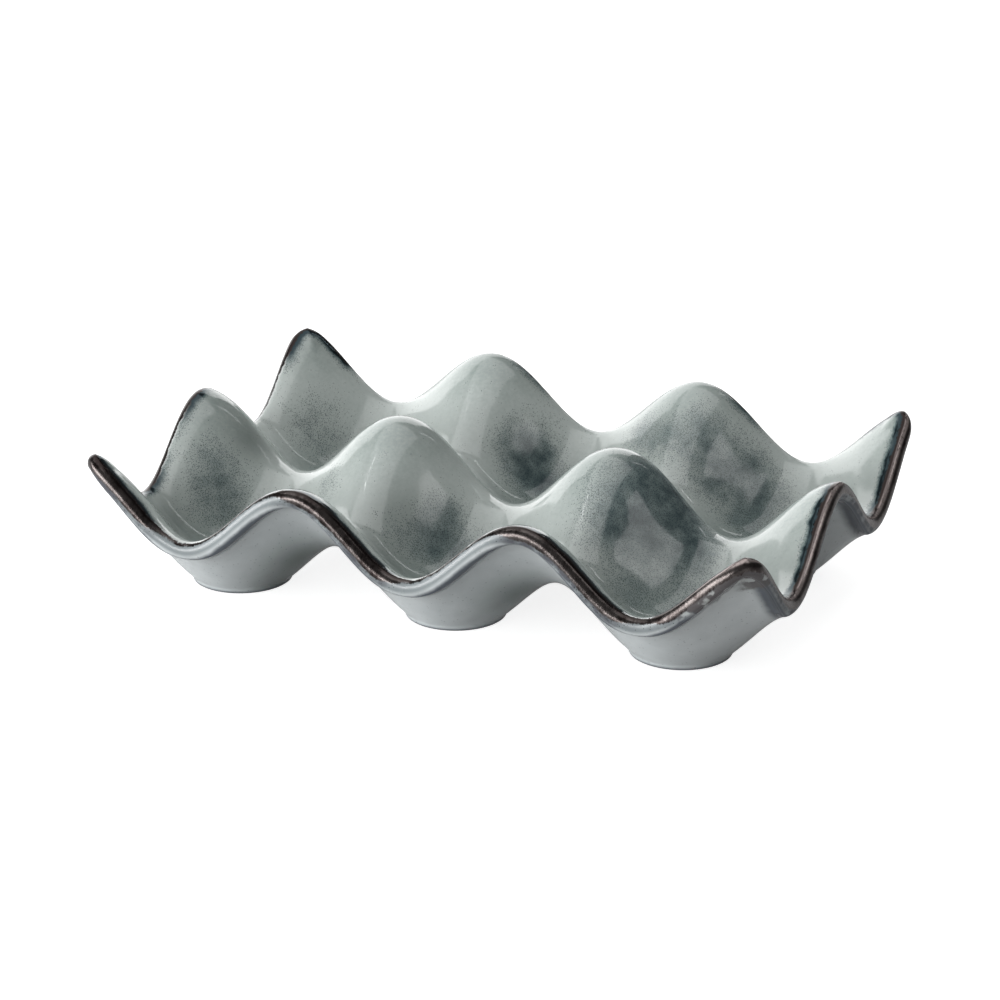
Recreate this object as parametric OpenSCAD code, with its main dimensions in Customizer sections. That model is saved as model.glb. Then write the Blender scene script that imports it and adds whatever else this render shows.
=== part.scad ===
// Egg tray: one wavy sheet of glazed stoneware with an egg cup in every dip, standing on round feet.
// +X runs along the row of cups, +Z is up, and the origin is the middle of the tray on the table.

/* [Eggs] */
// Number of cups along the tray
cups_long = 3; // [1:1:5]
// Number of cups across the tray
cups_wide = 2; // [1:1:4]
// Diameter of the eggs that the tray holds
egg_d = 44; // [40:0.5:50]
// Room for fingers between two neighbouring eggs
finger_room = 22; // [18:0.5:30]

/* [Bowls] */
// Height of the cup's floor above the table
floor_z = 5; // [4:0.1:7]
// Roundness of the bowl: 1 is a plain wave, and more has a wider, flatter bottom
bowl_power = 1.35; // [1:0.05:1.6]

/* [Waves] */
// Height of the ridge halfway between two cups
saddle_z = 20; // [18:0.5:24]
// Height of the rim where it dips beside a cup
rim_dip_z = 21.4; // [18:0.5:25]
// Height of the peaks between the cups
peak_z = 41.2; // [36:0.2:48]
// Height of the peaks at the tray's four corners
corner_z = 42; // [36:0.2:50]
// How sharply the waves turn over at the peaks
peak_turn = 18; // [12:1:26]
// Thickness of the stoneware
wall = 5; // [4:0.1:6]

/* [Rim] */
// How far the rim at the two ends cuts in from the line of its peaks
end_inset = 2.7; // [0:0.1:5]
// How far the rim along the two sides cuts in from the line of its peaks
side_inset = 1.1; // [0:0.1:5]
// How far the rim's rounded nose stands out
nose_out = 2.2; // [1.5:0.1:3]
// Radius of the tray's corners, seen from above
corner_r = 7; // [4:0.5:14]

/* [Feet] */
// Diameter of a foot where it meets the outside of the cup
foot_d = 28; // [24:0.5:34]
// Height of the foot up to the outside of the cup
foot_h = 1; // [0.8:0.1:2]
// Rounding of the foot's lower edge
foot_edge_r = 0.7; // [0.2:0.1:0.8]
// How much thicker the stoneware is beside the foot than at the rim
foot_thicken = 2; // [0:0.1:3]

/* [Hidden] */

// Grid steps across one cup, grid rings inside its foot, and steps round the rim's nose
cup_steps = 20;
foot_rings = 5;
nose_steps = 6;

// Two points count as one within this distance, and the foot runs this far up into its cup
same_point = 0.01;
foot_overlap = 0.4;

// A part of a cup counts as a whole one
whole_long = ceil(cups_long);
whole_wide = ceil(cups_wide);

cup_pitch = egg_d + finger_room;
half_pitch = cup_pitch / 2;
half_steps = cup_steps / 2;
columns = whole_long * cup_steps;
rows = whole_wide * cup_steps;
length_over_peaks = whole_long * cup_pitch;
width_over_peaks = whole_wide * cup_pitch;
foot_r = foot_d / 2;

// The distance over which a cup's outer half gives way to the rim's inset
squeeze_span = half_pitch - foot_r;

// How far a plan point lies inside the nearer of two lines, given their distance apart
function inside(x, span) = min(x, span - x);

// 1 at the tray's edge, falling smoothly to 0 over half a cup
function near_edge(x, span) =
    let (t = max(1 - inside(x, span) / half_pitch, 0))
    t * t * (3 - 2 * t);

// The wave: 0 in the middle of a cup, 1 on the ridge between two cups, and 2 on a peak
function wave(p) = 1 + (cos(360 * p.x / cup_pitch) + cos(360 * p.y / cup_pitch)) / 2;
function wave_slope(p) =
    norm([sin(360 * p.x / cup_pitch), sin(360 * p.y / cup_pitch)]) * PI / cup_pitch;

// Heights of the ridge and of the peak that hold at a plan point: the rim has its own
function ridge_at(p) =
    let (a = near_edge(p.x, length_over_peaks), b = near_edge(p.y, width_over_peaks))
    saddle_z + (rim_dip_z - saddle_z) * (1 - (1 - a) * (1 - b));
function peak_at(p) =
    peak_z + (corner_z - peak_z) * near_edge(p.x, length_over_peaks) * near_edge(p.y, width_over_peaks);

// Upper face: a power of the wave in the bowl, and a cubic from the ridge up to the peak that meets it smoothly
function bowl_climb(p) = bowl_power * (ridge_at(p) - floor_z);
function cubic_a(p) = 3 * (peak_at(p) - ridge_at(p)) - 2 * bowl_climb(p) - peak_turn;
function cubic_b(p) = bowl_climb(p) + peak_turn - 2 * (peak_at(p) - ridge_at(p));
function upper_z(p) =
    let (w = max(wave(p), 0), t = w - 1)
    w < 1
    ? floor_z + (ridge_at(p) - floor_z) * pow(w, bowl_power)
    : ridge_at(p) + bowl_climb(p) * t + cubic_a(p) * t * t + cubic_b(p) * t * t * t;
function climb(p) =
    let (w = max(wave(p), 0), t = w - 1)
    w < 1
    ? bowl_climb(p) * pow(w, bowl_power - 1)
    : bowl_climb(p) + 2 * cubic_a(p) * t + 3 * cubic_b(p) * t * t;

// Plan vector from the middle of the cup that holds a point
function from_cup(p) = [for (k = [0, 1]) p[k] - (floor(p[k] / cup_pitch) + 0.5) * cup_pitch];

// Lower face: the wall's thickness square to the slope, thicker beside the foot, and flat over the foot
foot_wave = (1 - cos(360 * foot_r / cup_pitch)) / 2;
function lower_z(p) =
    let (
        steepness = climb(p) * wave_slope(p),
        share = max(1 - wave(p), 0) / (1 - foot_wave),
        z = upper_z(p) - wall * sqrt(1 + steepness * steepness) - foot_thicken * share * share
    )
    norm(from_cup(p)) < foot_r + same_point ? foot_h : max(z, foot_h);

// Turns a square ring of grid points, given from its middle, into a circle of the same reach
function ring_point(g) =
    let (
        reach = max(abs(g.x), abs(g.y)),
        turn = 45 * min(abs(g.x), abs(g.y)) / max(reach, 1),
        far = reach * cos(turn),
        near = reach * sin(turn)
    )
    abs(g.x) > abs(g.y) ? [sign(g.x) * far, sign(g.y) * near] : [sign(g.x) * near, sign(g.y) * far];

// Plan point of a grid point within its cup: circles up to the foot's edge, and from there on out to the square
function cup_point(g) =
    let (
        reach = max(abs(g.x), abs(g.y)),
        out = max(reach - foot_rings, 0) / (half_steps - foot_rings),
        radius = reach < foot_rings ? foot_r * reach / foot_rings : foot_r + (half_pitch - foot_r) * out,
        round_part = ring_point(g) * radius / max(reach, 1),
        square_part = g * radius / max(reach, 1)
    )
    round_part * (1 - out) + square_part * out;

// Plan coordinate with the outer part of an end cup drawn in to the rim
function squeeze(x, span, inset) =
    inside(x, span) >= squeeze_span ? x
    : x < span / 2 ? inset + x * (squeeze_span - inset) / squeeze_span
    : span - squeeze(span - x, span, inset);

function grid_plan(i, j) =
    let (
        ci = min(floor(i / cup_steps), whole_long - 1),
        cj = min(floor(j / cup_steps), whole_wide - 1),
        p = cup_point([i - (ci + 0.5) * cup_steps, j - (cj + 0.5) * cup_steps])
            + [(ci + 0.5) * cup_pitch, (cj + 0.5) * cup_pitch]
    )
    [squeeze(p.x, length_over_peaks, end_inset), squeeze(p.y, width_over_peaks, side_inset)];

// Plan point with the tray's four corners rounded
function reach_into_corner(x, span, inset) = max(corner_r - (inside(x, span) - inset), 0);
function round_corner(p) =
    let (
        a = reach_into_corner(p.x, length_over_peaks, end_inset),
        b = reach_into_corner(p.y, width_over_peaks, side_inset),
        turn = 45 * min(a, b) / max(a, b, same_point),
        reach = max(a, b),
        q = a > b ? reach * [cos(turn), sin(turn)] : reach * [sin(turn), cos(turn)],
        dx = a - q.x,
        dy = b - q.y
    )
    min(a, b) <= 0 ? p
    : [p.x < length_over_peaks / 2 ? p.x + dx : p.x - dx, p.y < width_over_peaks / 2 ? p.y + dy : p.y - dy];

function upper_point(i, j) =
    let (p = grid_plan(i, j), q = round_corner(p))
    [q.x, q.y, upper_z(p)];
function lower_point(i, j) =
    let (p = grid_plan(i, j), q = round_corner(p))
    [q.x, q.y, lower_z(p)];

// Grid points along the rim, once round against the clock from the front left corner
rim = concat(
    [for (i = [0 : columns - 1]) [i, 0]],
    [for (j = [0 : rows - 1]) [columns, j]],
    [for (i = [columns : -1 : 1]) [i, rows]],
    [for (j = [rows : -1 : 1]) [0, j]]
);
rim_count = len(rim);
rim_upper = [for (g = rim) upper_point(g.x, g.y)];
rim_lower = [for (g = rim) lower_point(g.x, g.y)];

// Point on the rim's nose, which bulges half round from the upper face to the lower one
function nose_point(k, turn) =
    let (
        along = rim_upper[(k + 1) % rim_count] - rim_upper[(k + rim_count - 1) % rim_count],
        outward = [along.y, -along.x] / norm([along.x, along.y]) * nose_out * sin(turn),
        middle = (rim_upper[k] + rim_lower[k]) / 2,
        half = (rim_upper[k].z - rim_lower[k].z) / 2
    )
    [middle.x + outward.x, middle.y + outward.y, middle.z + half * cos(turn)];

module wavy_sheet() {
    face_points = (columns + 1) * (rows + 1);
    function at(i, j) = i * (rows + 1) + j;
    // The nose's first and last rings are the rim's points on the two faces
    function nose_at(k, ring) =
        let (g = rim[k % rim_count])
        ring == 0 ? at(g.x, g.y)
        : ring == nose_steps ? face_points + at(g.x, g.y)
        : 2 * face_points + (ring - 1) * rim_count + k % rim_count;
    // Squares split along the line that points at their cup's middle
    function points_at_cup(i, j) = (i % cup_steps < half_steps) == (j % cup_steps < half_steps);
    upper_faces = [
        for (i = [0 : columns - 1], j = [0 : rows - 1], half = [0, 1])
            let (a = at(i, j), b = at(i + 1, j), c = at(i + 1, j + 1), d = at(i, j + 1))
            points_at_cup(i, j)
            ? (half == 0 ? [a, c, b] : [a, d, c])
            : (half == 0 ? [a, d, b] : [b, d, c])
    ];
    lower_faces = [for (f = upper_faces) [f[0], f[2], f[1]] + face_points * [1, 1, 1]];
    nose_faces = [
        for (k = [0 : rim_count - 1], ring = [0 : nose_steps - 1], half = [0, 1])
            let (a = nose_at(k, ring), b = nose_at(k + 1, ring), c = nose_at(k + 1, ring + 1), d = nose_at(k, ring + 1))
            half == 0 ? [a, b, c] : [a, c, d]
    ];
    points = concat(
        [for (i = [0 : columns], j = [0 : rows]) upper_point(i, j)],
        [for (i = [0 : columns], j = [0 : rows]) lower_point(i, j)],
        [for (ring = [1 : nose_steps - 1], k = [0 : rim_count - 1]) nose_point(k, 180 * ring / nose_steps)]
    );
    translate([-length_over_peaks / 2, -width_over_peaks / 2, 0])
        polyhedron(points, concat(upper_faces, lower_faces, nose_faces), convexity = 8);
}

// Round foot with a softened lower edge, running up into the floor of its cup
module foot() {
    rotate_extrude($fn = 64)
        polygon(concat(
            [[0, 0]],
            [for (a = [0 : 22.5 : 90])
                [foot_r - foot_edge_r * (1 - sin(a)), foot_edge_r * (1 - cos(a))]],
            [[foot_r + foot_overlap / 2, foot_h + foot_overlap], [0, foot_h + foot_overlap]]
        ));
}

module tray() {
    color("#8b9a99")
        union() {
            wavy_sheet();
            for (i = [0 : whole_long - 1], j = [0 : whole_wide - 1])
                translate([
                    (i + 0.5) * cup_pitch - length_over_peaks / 2,
                    (j + 0.5) * cup_pitch - width_over_peaks / 2,
                    0
                ])
                    foot();
        }
}

tray();
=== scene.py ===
import math
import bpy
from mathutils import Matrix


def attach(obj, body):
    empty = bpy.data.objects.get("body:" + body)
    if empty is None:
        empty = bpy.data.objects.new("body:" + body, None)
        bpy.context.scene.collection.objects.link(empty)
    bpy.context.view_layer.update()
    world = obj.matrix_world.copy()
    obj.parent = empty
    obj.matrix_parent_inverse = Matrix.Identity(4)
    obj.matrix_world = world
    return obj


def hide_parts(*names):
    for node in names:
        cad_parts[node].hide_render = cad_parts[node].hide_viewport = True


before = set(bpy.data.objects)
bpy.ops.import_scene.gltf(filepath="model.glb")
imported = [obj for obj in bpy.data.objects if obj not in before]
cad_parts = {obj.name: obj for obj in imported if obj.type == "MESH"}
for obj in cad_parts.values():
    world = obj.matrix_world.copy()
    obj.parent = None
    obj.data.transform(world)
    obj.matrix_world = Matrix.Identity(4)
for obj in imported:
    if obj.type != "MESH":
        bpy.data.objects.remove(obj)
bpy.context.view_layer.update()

from types import SimpleNamespace

import bpy
import numpy as np
from mathutils import Vector, kdtree

MM = 0.001

# Shape, in millimetres: the same driving sizes as the CAD part
CUPS_LONG, CUPS_WIDE = 3, 2
PITCH = 66.0
FLOOR_Z = 5.0
BOWL_POWER = 1.35
SADDLE_Z = 20.0
RIM_DIP_Z = 21.4
PEAK_Z = 41.2
CORNER_Z = 42.0
PEAK_TURN = 18.0
WALL = 5.0
END_INSET, SIDE_INSET = 2.7, 1.1
NOSE_OUT = 2.2
CORNER_R = 7.0
FOOT_R = 14.0
FOOT_H = 1.0
FOOT_EDGE_R = 0.7
FOOT_THICKEN = 2.0

# Mesh resolution: grid steps across a cup, rings inside its foot, and steps round the rim's nose
CUP_STEPS = 64
HALF_STEPS = CUP_STEPS // 2
FOOT_RINGS = 14
FOOT_EDGE_RINGS = 4
NOSE_STEPS = 18
# Points in each step along the rim at which the distance to it is measured
RIM_PARTS = 6

# Places where the glaze broke, and places of painted shade, each as its middle, its radius (all in mm) and
# its strength from 0 to 1

# Clouds of dark specks on the walls of the cups: the front row, then the back row, from left to right
CLOUDS = [
    (-86, -15, 27, 7, 0.5), (-81, -15, 21, 8, 0.5), (-83, -20, 17, 8, 0.45), (-78, -20, 13, 8, 0.45),
    (-13, -13, 20, 6, 0.8), (-13, -20, 14, 8, 0.8), (-8, -17, 13, 6, 0.6), (-20, -25, 17, 8, 0.25),
    (-48, -14, 24, 6, 0.35),
    (36, -12, 35, 9, 0.3), (43, -4, 37, 8, 0.8), (48, 1, 32, 9, 1.0), (55, -2, 26, 9, 1.0),
    (59, -8, 19, 7, 1.0), (59, -16, 13, 7, 0.5), (41, -19, 27, 9, 0.65), (50, -27, 11, 8, 0.6),
    (46, -12, 25, 13, 0.95),
    (-84, 47, 20, 11, 0.3), (-80, 43, 13, 9, 0.3),
    (-14, 49, 17, 9, 0.9), (-10, 45, 11, 8, 1.0), (-18, 48, 21, 8, 0.5),
    (18, 54, 27, 7, 0.6), (27, 49, 27, 7, 0.5), (38, 51, 30, 9, 0.7), (46, 46, 21, 11, 0.8),
    (54, 54, 23, 7, 0.6), (58, 50, 15, 8, 0.8), (56, 43, 9, 7, 0.7),
]
# Walls darkened with painted shade where they get less light, with no specks
PAINTED_SHADE_INSIDE = [
    (-80, -1, 28, 8, 0.75), (-86, -38, 15, 11, 0.8), (-23, -22, 21, 9, 0.4), (36, -26, 22, 9, 0.3),
    (26, 50, 29, 9, 0.4), (-20, -36, 15, 10, 0.7), (44, -38, 15, 10, 0.7), (88, -25, 28, 12, 0.4),
    (88, 42, 28, 12, 0.4),
]
# The same painted shade outside: in the hollows between the front cups, and at the front right corner
PAINTED_SHADE_OUTSIDE = [
    (-42, -42, 12, 13, 1.0), (-51, -38, 3, 9, 0.8), (24, -44, 13, 12, 0.9), (95, -62, 37, 8, 0.5),
]
# The front right corner, where the bronze ran down the outside, from a few mm past the rim's inner edge
RUNS = [(94, -65, 35, 7, 1.0), (85, -66, 31, 7, 1.0), (77, -67, 27, 6, 0.8), (98, -58, 34, 6, 0.8)]
RUNS_START = 3.0
# Stretches of the rim where the glaze ran off and the bronze band is wide
WORN_RIM = [
    (-96, -65, 39, 14, 1.0), (-82, -67, 28, 12, 0.6), (-27, -67, 37, 11, 0.8), (-13, -67, 26, 13, 0.9),
    (38, -67, 39, 11, 0.9), (52, -67, 27, 14, 1.0), (80, -67, 27, 10, 0.9), (90, -65, 34, 9, 1.0),
    (98, -52, 34, 16, 1.0), (98, -34, 22, 14, 0.9), (98, -10, 37, 16, 1.0), (98, 12, 35, 16, 1.0),
    (98, 36, 22, 16, 0.9), (98, 52, 34, 14, 0.9), (96, 64, 39, 14, 1.0),
    (46, 66, 34, 12, 0.5), (-22, 66, 34, 12, 0.5), (-86, 66, 35, 10, 0.5),
    (-96, 64, 39, 16, 0.8), (-97, 0, 36, 16, 0.7), (-98, -33, 22, 16, 0.6),
]

# Camera: fitted to the photograph by its outline
CAMERA_AZIMUTH, CAMERA_ELEVATION = 24.34, 20.26
CAMERA_DISTANCE = 0.979
CAMERA_TARGET = (-0.0012, -0.0013, 0.02185)
FOCAL_RATIO = 3.58
SENSOR = 36.0

# Softboxes round the tray: name, azimuth and elevation in degrees, distance, width and height in metres,
# and radiance
SOFTBOXES = [
    ("back_panel", -141, 22, 1.5, 1.9, 1.3, 1.65),
    ("left_panel", -38, 9, 1.5, 2.2, 0.45, 7.2),
    ("top", -100, 80, 1.6, 1.8, 1.8, 1.15),
    ("right", 77, 45, 0.39, 0.11, 0.10, 1.65),
    ("strip", -60, 52, 1.4, 0.02, 0.12, 12.0),
    ("back_strip", 160, 40, 1.4, 0.025, 0.5, 4.0),
]

# Floor: half its side, and the distances between which its glow for the camera grows to white, in metres
FLOOR_HALF = 3.0
GLOW_START, GLOW_END = 0.4, 1.5
GLOW_NEAR, GLOW_FAR = 0.85, 1.0
# Share of that glow in reflections, and the strength at which the backdrop lights the tray
GLOW_IN_GLAZE = 0.15
WORLD_LIGHT = 0.1

LENGTH = CUPS_LONG * PITCH
WIDTH = CUPS_WIDE * PITCH


# Wave functions, on arrays of plan points measured from the front left peak

def inside(x, span):
    """Distance to the nearer end of the span."""
    return np.minimum(x, span - x)


def near_edge(x, span):
    """0 inside the tray, rising smoothly to 1 at either end of the span."""
    t = np.clip(1 - inside(x, span) / (PITCH / 2), 0, 1)
    return t * t * (3 - 2 * t)


def wave(x, y):
    """0 in the middle of a cup, 1 on a saddle and 2 on a peak."""
    k = 2 * math.pi / PITCH
    return 1 + (np.cos(k * x) + np.cos(k * y)) / 2


def wave_slope(x, y):
    """How fast the wave changes for each mm in plan."""
    k = 2 * math.pi / PITCH
    return np.hypot(np.sin(k * x), np.sin(k * y)) * math.pi / PITCH


def faces_at(x, y):
    """Heights of the upper and the lower face."""
    edge_x, edge_y = near_edge(x, LENGTH), near_edge(y, WIDTH)
    ridge = SADDLE_Z + (RIM_DIP_Z - SADDLE_Z) * (1 - (1 - edge_x) * (1 - edge_y))
    rise = PEAK_Z + (CORNER_Z - PEAK_Z) * edge_x * edge_y - ridge
    # The hill above the ridge starts with the bowl's steepness and ends on its peak with PEAK_TURN
    start = BOWL_POWER * (ridge - FLOOR_Z)
    a = 3 * rise - 2 * start - PEAK_TURN
    b = start + PEAK_TURN - 2 * rise
    w = np.maximum(wave(x, y), 0)
    t = np.maximum(w - 1, 0)
    bowl = FLOOR_Z + (ridge - FLOOR_Z) * w ** BOWL_POWER
    hill = ridge + start * t + a * t ** 2 + b * t ** 3
    climb = np.where(w < 1, start * w ** (BOWL_POWER - 1), start + 2 * a * t + 3 * b * t ** 2)
    upper = np.where(w < 1, bowl, hill)
    foot_wave = (1 - math.cos(2 * math.pi * FOOT_R / PITCH)) / 2
    share = np.maximum(1 - w, 0) / (1 - foot_wave)
    steepness = climb * wave_slope(x, y)
    lower = upper - WALL * np.sqrt(1 + steepness ** 2) - FOOT_THICKEN * share ** 2
    return upper, np.maximum(lower, FOOT_H)


# The grid: circles over the foot that turn into squares towards the neighbouring cups

def ring_direction(gx, gy):
    """Point of a circle of radius 1 for each point of a square ring."""
    reach = np.maximum(abs(gx), abs(gy))
    turn = math.pi / 4 * np.minimum(abs(gx), abs(gy)) / np.maximum(reach, 1)
    far, near = np.cos(turn), np.sin(turn)
    wide = abs(gx) > abs(gy)
    x = np.sign(gx) * np.where(wide, far, near)
    y = np.sign(gy) * np.where(wide, near, far)
    return x, y, reach


def squeeze(x, span, inset):
    """Draws the outer part of an end cup in to the rim."""
    reach = PITCH / 2 - FOOT_R
    low = inset + x * (reach - inset) / reach
    high = span - (inset + (span - x) * (reach - inset) / reach)
    return np.where(x < reach, low, np.where(x > span - reach, high, x))


def round_corners(x, y):
    """Rounds the tray's corners in plan."""
    a = np.maximum(CORNER_R - (inside(x, LENGTH) - END_INSET), 0)
    b = np.maximum(CORNER_R - (inside(y, WIDTH) - SIDE_INSET), 0)
    reach = np.maximum(a, b)
    turn = math.pi / 4 * np.minimum(a, b) / np.maximum(reach, 1e-6)
    far, near = reach * np.cos(turn), reach * np.sin(turn)
    in_corner = np.minimum(a, b) > 0
    dx = np.where(in_corner, a - np.where(a > b, far, near), 0)
    dy = np.where(in_corner, b - np.where(a > b, near, far), 0)
    return np.where(x < LENGTH / 2, x + dx, x - dx), np.where(y < WIDTH / 2, y + dy, y - dy)


def foot_profile():
    """Radius and height of the underside at each ring, from the middle of the foot to its upper edge."""
    flat_rings = FOOT_RINGS - FOOT_EDGE_RINGS - 1
    radii = [(FOOT_R - FOOT_EDGE_R) * k / flat_rings for k in range(flat_rings + 1)]
    heights = [0.0] * (flat_rings + 1)
    for k in range(1, FOOT_EDGE_RINGS + 1):
        turn = math.pi / 2 * k / FOOT_EDGE_RINGS
        radii.append(FOOT_R - FOOT_EDGE_R * (1 - math.sin(turn)))
        heights.append(FOOT_EDGE_R * (1 - math.cos(turn)))
    return np.array(radii + [FOOT_R]), np.array(heights + [FOOT_H])


def grid_points():
    """Points of the upper and lower faces as (columns, rows, 3) arrays, and the wave at each."""
    columns, rows = np.meshgrid(
        np.arange(CUPS_LONG * CUP_STEPS + 1), np.arange(CUPS_WIDE * CUP_STEPS + 1), indexing="ij")
    cup_x = np.minimum(columns // CUP_STEPS, CUPS_LONG - 1) + 0.5
    cup_y = np.minimum(rows // CUP_STEPS, CUPS_WIDE - 1) + 0.5
    gx, gy = columns - cup_x * CUP_STEPS, rows - cup_y * CUP_STEPS
    ux, uy, reach = ring_direction(gx, gy)
    out = np.maximum(reach - FOOT_RINGS, 0) / (HALF_STEPS - FOOT_RINGS)
    radius = np.where(reach < FOOT_RINGS, FOOT_R * reach / FOOT_RINGS, FOOT_R + (PITCH / 2 - FOOT_R) * out)
    even = 1 / np.maximum(reach, 1)
    x = cup_x * PITCH + radius * (ux * (1 - out) + gx * even * out)
    y = cup_y * PITCH + radius * (uy * (1 - out) + gy * even * out)
    x, y = squeeze(x, LENGTH, END_INSET), squeeze(y, WIDTH, SIDE_INSET)
    upper, lower = faces_at(x, y)
    px, py = round_corners(x, y)
    radii, heights = foot_profile()
    ring = np.minimum(reach, FOOT_RINGS).astype(int)
    over_foot = reach <= FOOT_RINGS
    lower_x = np.where(over_foot, cup_x * PITCH + ux * radii[ring], px)
    lower_y = np.where(over_foot, cup_y * PITCH + uy * radii[ring], py)
    lower_z = np.where(over_foot, heights[ring], lower)
    top = np.stack([px, py, upper], -1)
    bottom = np.stack([lower_x, lower_y, lower_z], -1)
    return top, bottom, wave(x, y)


def rim_indices(shape):
    """Grid indices along the rim, once round against the clock from the front left corner."""
    n, m = shape[0] - 1, shape[1] - 1
    front = [(i, 0) for i in range(n)]
    right = [(n, j) for j in range(m)]
    back = [(i, m) for i in range(n, 0, -1)]
    left = [(0, j) for j in range(m, 0, -1)]
    return np.array(front + right + back + left)


def nose_rings(upper, lower):
    """Rings of points round the rim's nose, from the upper face's rim points to the lower face's."""
    along = (np.roll(upper, -1, 0) - np.roll(upper, 1, 0))[:, :2]
    along /= np.linalg.norm(along, axis=1, keepdims=True)
    outward = np.stack([along[:, 1], -along[:, 0], np.zeros(len(along))], -1)
    middle, half = (upper + lower) / 2, (upper - lower) / 2
    turns = [math.pi * k / NOSE_STEPS for k in range(NOSE_STEPS + 1)]
    return np.array([middle + half * math.cos(t) + outward * NOSE_OUT * math.sin(t) for t in turns])


def nearest_on(line, points):
    """Distance from each point to a closed line of points, and the nearest place's distance along it."""
    ahead = np.roll(line, -1, 0) - line
    parts = np.arange(RIM_PARTS) / RIM_PARTS
    fine = (line[:, None] + ahead[:, None] * parts[:, None]).reshape(-1, 3)
    tree = kdtree.KDTree(len(fine))
    for k, p in enumerate(fine):
        tree.insert(p, k)
    tree.balance()
    found = [tree.find(p) for p in points]
    lengths = np.linalg.norm(ahead, axis=1)
    along = np.cumsum(lengths) - lengths
    fine_along = (along[:, None] + lengths[:, None] * parts).ravel()
    return np.array([f[2] for f in found]), fine_along[[f[1] for f in found]]


def strength_at(points, spots):
    """How strongly a list of spots acts on each point, from 0 to 1."""
    total = np.zeros(len(points))
    for x, y, z, radius, strength in spots:
        away = np.linalg.norm(points - (x, y, z), axis=1) / radius
        total = 1 - (1 - total) * (1 - strength * np.exp(-away ** 2))
    return total


def glaze_layers(points, top, bottom, nose, rim_ids, w):
    """What the glaze reads at each point: the upper face's points, the lower face's, then the nose's."""
    girth = np.cumsum(np.linalg.norm(np.diff(nose, axis=0), axis=2), axis=0)
    above, above_along = nearest_on(top[rim_ids], top)
    below, below_along = nearest_on(bottom[rim_ids], bottom)
    # Distance past the rim's inner edge: below 0 on the upper face, above 0 over the nose and under it
    rim_mm = np.concatenate([-above, girth[-1].mean() + below, girth[:-1].ravel()])
    along_mm = np.concatenate([above_along, below_along, np.tile(above_along[rim_ids], NOSE_STEPS - 1)])
    waves = np.concatenate([w, w, np.tile(w[rim_ids], NOSE_STEPS - 1)])
    on_top = rim_mm < 0
    return {
        "rim_mm": rim_mm,
        "along_mm": along_mm,
        "wave": waves,
        "clouds": strength_at(points, CLOUDS) * on_top,
        # Painted shade: on walls inside, and in hollows outside
        "painted_shade": np.where(on_top, strength_at(points, PAINTED_SHADE_INSIDE), strength_at(points, PAINTED_SHADE_OUTSIDE)),
        "worn": strength_at(points, WORN_RIM),
        "runs": strength_at(points, RUNS) * (rim_mm > RUNS_START),
    }


def build_tray():
    """The tray as one closed mesh, with the layers that its glaze reads."""
    top, bottom, w = grid_points()
    shape = top.shape[:2]
    count = shape[0] * shape[1]
    index = np.arange(count).reshape(shape)
    rim = rim_indices(shape)
    rim_ids = index[rim[:, 0], rim[:, 1]]
    top, bottom = top.reshape(-1, 3), bottom.reshape(-1, 3)
    nose = nose_rings(top[rim_ids], bottom[rim_ids])
    points = np.concatenate([top, bottom, nose[1:-1].reshape(-1, 3)])

    # Faces: the two grids, and the nose between their rims
    quads = np.stack([index[:-1, :-1], index[1:, :-1], index[1:, 1:], index[:-1, 1:]], -1).reshape(-1, 4)
    ring_ids = [rim_ids]
    ring_ids += [2 * count + k * len(rim) + np.arange(len(rim)) for k in range(NOSE_STEPS - 1)]
    ring_ids.append(rim_ids + count)
    faces = [quads, quads[:, ::-1] + count]
    for a, b in zip(ring_ids[:-1], ring_ids[1:]):
        faces.append(np.stack([a, b, np.roll(b, -1), np.roll(a, -1)], -1))
    faces = np.concatenate(faces)

    points -= (LENGTH / 2, WIDTH / 2, 0)
    layers = glaze_layers(points, top, bottom, nose, rim_ids, w.ravel())

    mesh = bpy.data.meshes.new("tray_glazed")
    mesh.from_pydata((points * MM).tolist(), [], faces.tolist())
    for name, values in layers.items():
        layer = mesh.attributes.new(name, "FLOAT", "POINT")
        layer.data.foreach_set("value", values.astype(np.float32))
    mesh.polygons.foreach_set("use_smooth", [True] * len(mesh.polygons))
    mesh.update()
    tray = bpy.data.objects.new("tray_glazed", mesh)
    bpy.context.scene.collection.objects.link(tray)
    return tray


# Materials

def node(tree, kind, inputs=None, **settings):
    """Adds a node, sets its settings, and fills or links its inputs."""
    new = tree.nodes.new(kind)
    for name, value in settings.items():
        setattr(new, name, value)
    for key, value in (inputs or {}).items():
        if isinstance(value, bpy.types.NodeSocket):
            tree.links.new(value, new.inputs[key])
        else:
            new.inputs[key].default_value = value
    return new


def times(tree, a, b):
    return node(tree, "ShaderNodeMath", {0: a, 1: b}, operation="MULTIPLY").outputs[0]


def sum_of(tree, *terms):
    """Sum of terms: each is a socket, a socket with its weight, or a number."""
    values = [times(tree, *term) if isinstance(term, tuple) else term for term in terms]
    total = values[0]
    for value in values[1:]:
        total = node(tree, "ShaderNodeMath", {0: total, 1: value}, operation="ADD").outputs[0]
    return total


def step(tree, value, start, end, low=0.0, high=1.0):
    """Smooth step from low at start to high at end."""
    inputs = {"Value": value, "From Min": start, "From Max": end, "To Min": low, "To Max": high}
    return node(tree, "ShaderNodeMapRange", inputs, interpolation_type="SMOOTHSTEP").outputs[0]


def mixed(tree, factor, a, b):
    inputs = {0: factor, 6: a, 7: b}
    return node(tree, "ShaderNodeMix", inputs, data_type="RGBA").outputs[2]


def noise_at(tree, coords, size_mm, detail=3.0, roughness=0.5):
    """Noise from 0 to 1 whose blotches are about size_mm across."""
    inputs = {"Vector": coords, "Scale": 1 / (size_mm * MM), "Detail": detail, "Roughness": roughness}
    return node(tree, "ShaderNodeTexNoise", inputs).outputs[0]


def attribute(tree, name):
    return node(tree, "ShaderNodeAttribute", attribute_name=name).outputs["Fac"]


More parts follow.
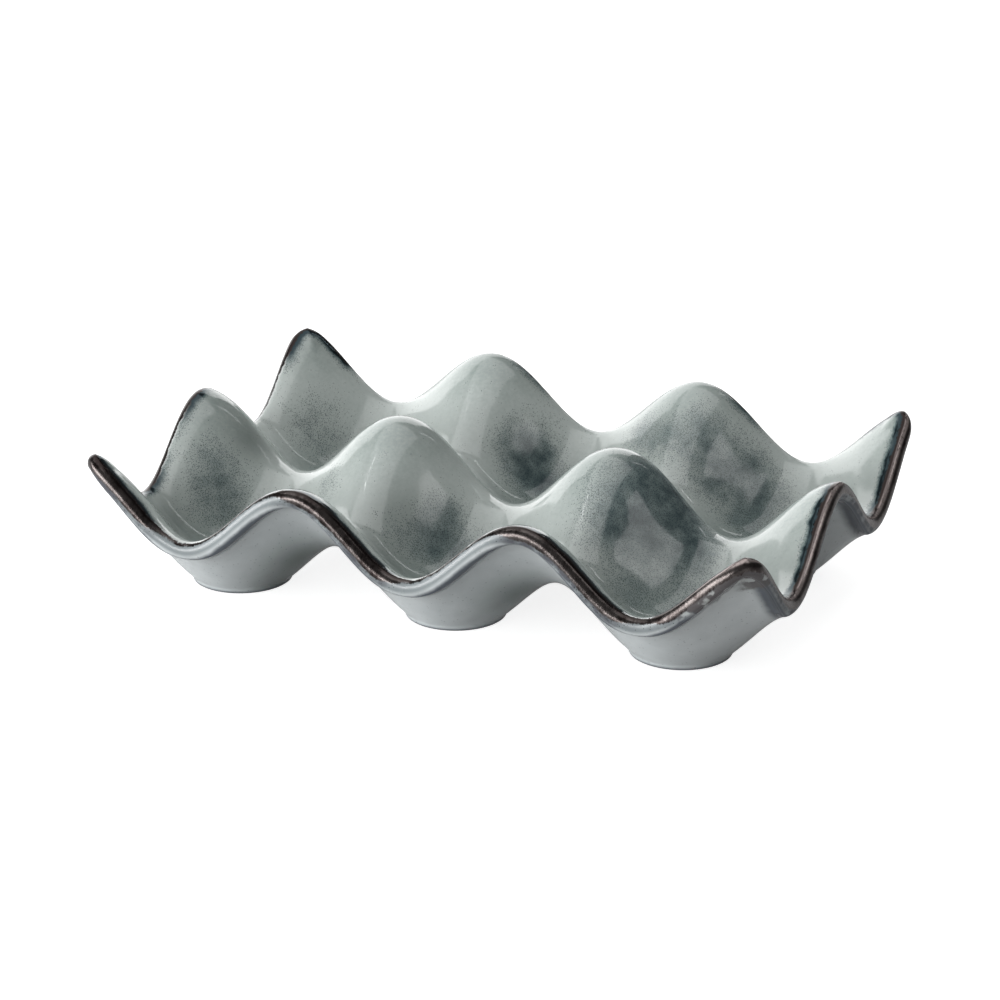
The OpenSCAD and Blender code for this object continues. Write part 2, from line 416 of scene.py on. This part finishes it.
PALE = (0.50, 0.545, 0.525, 1)
MID = (0.27, 0.315, 0.30, 1)
PAINTED_SHADE_COLOUR = (0.12, 0.145, 0.135, 1)
TEAL = (0.07, 0.115, 0.12, 1)
SPECK = (0.012, 0.025, 0.032, 1)
OUTSIDE = (0.65, 0.69, 0.70, 1)
OUTSIDE_DARK = (0.54, 0.58, 0.59, 1)
NOSE = (0.25, 0.28, 0.29, 1)
NOSE_DARK = (0.075, 0.08, 0.095, 1)
EDGE_HIGHLIGHT_AND_MILK = (0.58, 0.61, 0.60, 1)
DARK_SPECK_AND_SHADE = (0.085, 0.10, 0.12, 1)
BRONZE = (0.12, 0.106, 0.102, 1)
BRONZE_DARK = (0.022, 0.016, 0.015, 1)
# Paler bronze for the painted highlight at the right-hand end
BRONZE_PAINTED_HIGHLIGHT = (0.33, 0.28, 0.27, 1)
RUN = (0.085, 0.075, 0.075, 1)
CLAY = (0.36, 0.29, 0.22, 1)
FLOOR_GREY = (0.55, 0.55, 0.55, 1)
WHITE = (1, 1, 1, 1)

# Specks: the sizes of the cells that hold one each, how strongly they darken the glaze, and where a speck's
# soft edge starts and ends, as a share of its cell
INSIDE_CELLS_MM = (0.30, 0.46)
NOSE_CELL_MM = 0.45
OUTSIDE_CELL_MM = 0.6
INSIDE_SPECK, OUTSIDE_SPECK = 0.6, 0.4
OUTSIDE_CHANCE = 0.05
SPECK_EDGE = (0.42, 0.26)

# Distances in mm to the right of the middle at which the painted highlight on the band starts, and at which
# it is full
HIGHLIGHT_FROM, HIGHLIGHT_FULL = 75, 95

# Heights in mm over which the foot's edge darkens, and over which its clay becomes bare
FOOT_LINE = (1.2, 0.2)
FOOT_BARE = (0.12, 0.04)


def specks(tree, coords, cell_mm, chance):
    """Round specks, about one in each cell of the given size, where the chance allows them."""
    cells = node(tree, "ShaderNodeTexVoronoi", {"Vector": coords, "Scale": 1 / (cell_mm * MM)})
    luck = node(tree, "ShaderNodeSeparateColor", {"Color": cells.outputs["Color"]}).outputs["Red"]
    drawn = node(tree, "ShaderNodeMath", {0: luck, 1: chance}, operation="LESS_THAN").outputs[0]
    return times(tree, step(tree, cells.outputs["Distance"], *SPECK_EDGE), drawn)


def read_surface(tree):
    """What the parts of the glaze share: the place, the mesh's layers, and noises of a few sizes."""
    coords = node(tree, "ShaderNodeTexCoord").outputs["Object"]
    place = node(tree, "ShaderNodeSeparateXYZ", {0: coords})
    rim = attribute(tree, "rim_mm")
    worn = step(tree, attribute(tree, "worn"), 0.15, 0.75)
    broad = noise_at(tree, coords, 22)
    small = noise_at(tree, coords, 4, detail=4)
    fine = noise_at(tree, coords, 1.0, detail=3, roughness=0.65)

    # Streaks lie across the rim, so they change fast along it and slowly over the nose
    along = {"X": attribute(tree, "along_mm"), "Y": times(tree, rim, 0.12)}
    across = node(tree, "ShaderNodeCombineXYZ", along).outputs[0]
    streaks = node(tree, "ShaderNodeTexNoise", {"Vector": across, "Scale": 2.5, "Detail": 3}).outputs[0]

    # A fringe of teal clouds lies inside the worn stretches of the rim
    fringe = times(tree, worn, step(tree, sum_of(tree, rim, (small, 2.0)), -3.5, 1.4))
    clouds = sum_of(tree, attribute(tree, "clouds"), (fringe, 1.9))
    return SimpleNamespace(
        coords=coords, x=place.outputs["X"], height=place.outputs["Z"], rim=rim, worn=worn,
        wave=attribute(tree, "wave"), runs=attribute(tree, "runs"),
        # Painted shade on walls and in hollows
        painted_shade=times(tree, attribute(tree, "painted_shade"), 0.9),
        broad=broad, small=small, fine=fine, streaks=streaks, fringe=fringe,
        density=sum_of(tree, (clouds, 1.25), (small, 0.9), (broad, 0.3), -0.75),
        ragged=sum_of(tree, rim, (small, 1.8), (streaks, 0.8), (fine, 0.6), -1.6))


def inside_glaze(tree, at):
    """Pale on the ridges and darker down the walls and over the peaks, with painted shade and teal clouds
    of dark specks.
    """
    # Ridges paler than walls: partly the glaze's own tone, partly painted shade down the walls and into the
    # cups
    on_ridge = times(tree, step(tree, at.wave, 0.15, 0.95), step(tree, at.wave, 1.15, 1.9, 1.0, 0.35))
    shade = sum_of(tree, (on_ridge, 0.75), (at.broad, 0.5), (at.small, 0.3), (at.fine, 0.4), -0.53)
    colour = mixed(tree, step(tree, shade, 0.0, 1.0), MID, PALE)
    # Patches of painted shade on the walls
    colour = mixed(tree, at.painted_shade, colour, PAINTED_SHADE_COLOUR)
    colour = mixed(tree, step(tree, at.density, 0.1, 1.2, 0.0, 0.85), colour, TEAL)
    colour = mixed(tree, step(tree, at.density, 0.7, 1.5, 0.0, 0.9), colour, SPECK)
    chance = step(tree, at.density, -0.12, 0.5, 0.002, 1.0)
    for cell_mm in INSIDE_CELLS_MM:
        dots = times(tree, specks(tree, at.coords, cell_mm, chance), INSIDE_SPECK)
        colour = mixed(tree, dots, colour, SPECK)
    return colour


def outside_glaze(tree, at):
    """Bluish, with a few specks, and with a soft dark band of pooled glaze and painted shade where the nose
    turns under.
    """
    patches = step(tree, sum_of(tree, (at.broad, 0.7), (at.small, 0.5)), 0.3, 0.9)
    # Painted shade in the hollows between the cups
    colour = mixed(tree, at.painted_shade, mixed(tree, patches, OUTSIDE, OUTSIDE_DARK), PAINTED_SHADE_COLOUR)
    dots = times(tree, specks(tree, at.coords, OUTSIDE_CELL_MM, OUTSIDE_CHANCE), OUTSIDE_SPECK)
    colour = mixed(tree, dots, colour, DARK_SPECK_AND_SHADE)
    # Pooled glaze and painted shade on the wall just under the nose
    below = sum_of(tree, at.rim, (at.small, 1.2), -0.6)
    painted_fold_shade = times(tree, step(tree, below, 5.0, 6.8), step(tree, below, 11.5, 8.5))
    return mixed(tree, painted_fold_shade, colour, DARK_SPECK_AND_SHADE)


def nose_glaze(tree, at):
    """Greyer than the outside, and dark and specked where the rim is worn."""
    dark = times(tree, at.worn, step(tree, at.small, 0.35, 0.6))
    colour = mixed(tree, dark, NOSE, NOSE_DARK)
    chance = times(tree, at.worn, 0.5)
    return mixed(tree, specks(tree, at.coords, NOSE_CELL_MM, chance), colour, SPECK)


def with_runs(tree, at, colour):
    """Brown runs below the front right corner, with milky patches in them."""
    drips = sum_of(tree, at.runs, (at.small, 1.3), -0.95)
    colour = mixed(tree, step(tree, drips, 0.15, 0.5, 0.0, 0.85), colour, RUN)
    milky = times(tree, step(tree, at.runs, 0.5, 0.8), step(tree, at.small, 0.46, 0.38, 0.0, 0.6))
    return mixed(tree, milky, colour, EDGE_HIGHLIGHT_AND_MILK)


def bronze_glaze(tree, at, painted_highlight):
    """Dark with warmer flecks over the nose, and paler where the painted highlight lies."""
    warm = sum_of(tree, at.small, (at.streaks, 0.4), (at.fine, 0.3))
    flecks = times(tree, step(tree, warm, 0.6, 1.05), step(tree, at.rim, 0.4, 1.8))
    return mixed(tree, painted_highlight, mixed(tree, flecks, BRONZE_DARK, BRONZE), BRONZE_PAINTED_HIGHLIGHT)


def glaze_material():
    """The whole glaze, in layers of colour, with its lustre, its gloss and a slight relief."""
    material = bpy.data.materials.new("reactive_glaze")
    material.use_nodes = True
    tree = material.node_tree
    shader = tree.nodes["Principled BSDF"]
    at = read_surface(tree)

    # From the outside in: the wall, the nose, a pale edge that is a painted highlight, and the upper face
    past_nose = step(tree, sum_of(tree, at.rim, (at.worn, -1.5)), 3.8, 5.4)
    colour = mixed(tree, past_nose, nose_glaze(tree, at), outside_glaze(tree, at))
    colour = with_runs(tree, at, colour)
    # The pale line along the rim's upper edge is a painted highlight
    on_upper_edge = step(tree, at.ragged, 0.9, 0.4)
    colour = mixed(tree, on_upper_edge, colour, EDGE_HIGHLIGHT_AND_MILK)
    colour = mixed(tree, step(tree, at.ragged, 0.2, -0.4), colour, inside_glaze(tree, at))

    # The bronze band: wide where the rim is worn, with a paler painted highlight along it at the tray's
    # right-hand end
    past_band = sum_of(tree, at.ragged, (at.worn, -2.8))
    into_band = sum_of(tree, at.ragged, (at.worn, 1.2))
    band = times(tree, step(tree, past_band, 2.0, 1.2), step(tree, into_band, 0.3, 0.9))
    right_end = step(tree, at.x, HIGHLIGHT_FROM * MM, HIGHLIGHT_FULL * MM)
    painted_highlight_line = times(tree, step(tree, at.rim, 0.1, 1.0), step(tree, at.rim, 2.2, 1.3))
    painted_highlight = times(tree, times(tree, right_end, step(tree, at.streaks, 0.2, 0.5, 0.5, 1.0)), painted_highlight_line)
    colour = mixed(tree, band, colour, bronze_glaze(tree, at, painted_highlight))

    # Foot: a thin dark line round its edge, and bare clay underneath
    foot_line = step(tree, at.height, FOOT_LINE[0] * MM, FOOT_LINE[1] * MM)
    colour = mixed(tree, foot_line, colour, DARK_SPECK_AND_SHADE)
    bare = step(tree, at.height, FOOT_BARE[0] * MM, FOOT_BARE[1] * MM)
    colour = mixed(tree, bare, colour, CLAY)

    # The band and the darkest of the fringe have a metal's lustre
    dark_fringe = times(tree, times(tree, at.fringe, on_upper_edge), step(tree, at.density, 0.8, 1.4))
    lustre = step(tree, sum_of(tree, band, dark_fringe, (painted_highlight, -0.5)), 0.0, 1.0, 0.0, 0.9)

    # Glossy all over, satin on the nose, more so where it is worn, and dull on the bare clay
    on_nose = times(tree, step(tree, at.ragged, -0.5, 2.0), step(tree, at.rim, 8.0, 6.5))
    worn_nose = times(tree, times(tree, on_nose, at.worn), step(tree, past_band, 1.2, 2.4))
    rough = sum_of(tree, (on_nose, 0.16), (worn_nose, 0.28), (at.small, 0.08), (bare, 0.6), 0.06)
    relief = sum_of(tree, (at.small, 0.6), (times(tree, at.fine, band), 0.8))
    bump = node(tree, "ShaderNodeBump", {"Strength": 0.25, "Distance": 0.00025, "Height": relief})
    tree.links.new(colour, shader.inputs["Base Color"])
    tree.links.new(rough, shader.inputs["Roughness"])
    tree.links.new(lustre, shader.inputs["Metallic"])
    tree.links.new(bump.outputs["Normal"], shader.inputs["Normal"])
    return material


def build_floor():
    """White floor: it glows for the camera, and faintly in the glaze, and keeps the tray's shadow."""
    mesh = bpy.data.meshes.new("floor")
    corners = [(-1, -1), (1, -1), (1, 1), (-1, 1)]
    mesh.from_pydata([(x * FLOOR_HALF, y * FLOOR_HALF, 0) for x, y in corners], [], [(0, 1, 2, 3)])
    floor = bpy.data.objects.new("floor", mesh)
    bpy.context.scene.collection.objects.link(floor)
    material = bpy.data.materials.new("floor_white")
    material.use_nodes = True
    tree = material.node_tree
    shader = tree.nodes["Principled BSDF"]
    shader.inputs["Base Color"].default_value = FLOOR_GREY
    shader.inputs["Roughness"].default_value = 0.9
    path = node(tree, "ShaderNodeLightPath")
    seen = sum_of(tree, path.outputs["Is Camera Ray"], (path.outputs["Is Glossy Ray"], GLOW_IN_GLAZE))
    position = node(tree, "ShaderNodeNewGeometry").outputs["Position"]
    away = node(tree, "ShaderNodeVectorMath", {0: position}, operation="LENGTH").outputs["Value"]
    glow = times(tree, seen, step(tree, away, GLOW_START, GLOW_END, GLOW_NEAR, GLOW_FAR))
    shader.inputs["Emission Color"].default_value = WHITE
    tree.links.new(glow, shader.inputs["Emission Strength"])
    floor.data.materials.append(material)


def build_world():
    """White backdrop for the camera, with little light of its own."""
    world = bpy.data.worlds.new("studio")
    world.use_nodes = True
    tree = world.node_tree
    seen = node(tree, "ShaderNodeLightPath").outputs["Is Camera Ray"]
    background = tree.nodes["Background"]
    background.inputs["Color"].default_value = WHITE
    tree.links.new(step(tree, seen, 0.0, 1.0, WORLD_LIGHT, 1.0), background.inputs["Strength"])
    bpy.context.scene.world = world


def direction(azimuth, elevation):
    """Unit vector from the tray: azimuth 0 is its front and 90 its right-hand end."""
    azimuth, elevation = math.radians(azimuth), math.radians(elevation)
    level = math.cos(elevation)
    return Vector((math.sin(azimuth) * level, -math.cos(azimuth) * level, math.sin(elevation)))


def add_softbox(name, azimuth, elevation, distance, width, height, radiance):
    """Rectangular lamp that faces the tray."""
    data = bpy.data.lights.new(name, "AREA")
    data.shape = "RECTANGLE"
    data.size, data.size_y = width, height
    data.energy = radiance * 4 * width * height
    lamp = bpy.data.objects.new(name, data)
    away = direction(azimuth, elevation)
    lamp.location = away * distance
    lamp.rotation_euler = away.to_track_quat("Z", "Y").to_euler()
    lamp.visible_camera = False
    bpy.context.scene.collection.objects.link(lamp)


def add_camera():
    back = direction(CAMERA_AZIMUTH, CAMERA_ELEVATION)
    data = bpy.data.cameras.new("camera")
    data.sensor_width = SENSOR
    data.lens = FOCAL_RATIO * CAMERA_DISTANCE * SENSOR
    camera = bpy.data.objects.new("camera", data)
    camera.location = Vector(CAMERA_TARGET) + back * CAMERA_DISTANCE
    camera.rotation_euler = back.to_track_quat("Z", "Y").to_euler()
    bpy.context.scene.collection.objects.link(camera)
    bpy.context.scene.camera = camera


add_camera()
build_floor()
build_world()
for softbox in SOFTBOXES:
    add_softbox(*softbox)
tray = build_tray()
tray.data.materials.append(glaze_material())
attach(tray, "root")
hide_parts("tray")

bpy.context.scene.view_settings.view_transform = "Standard"
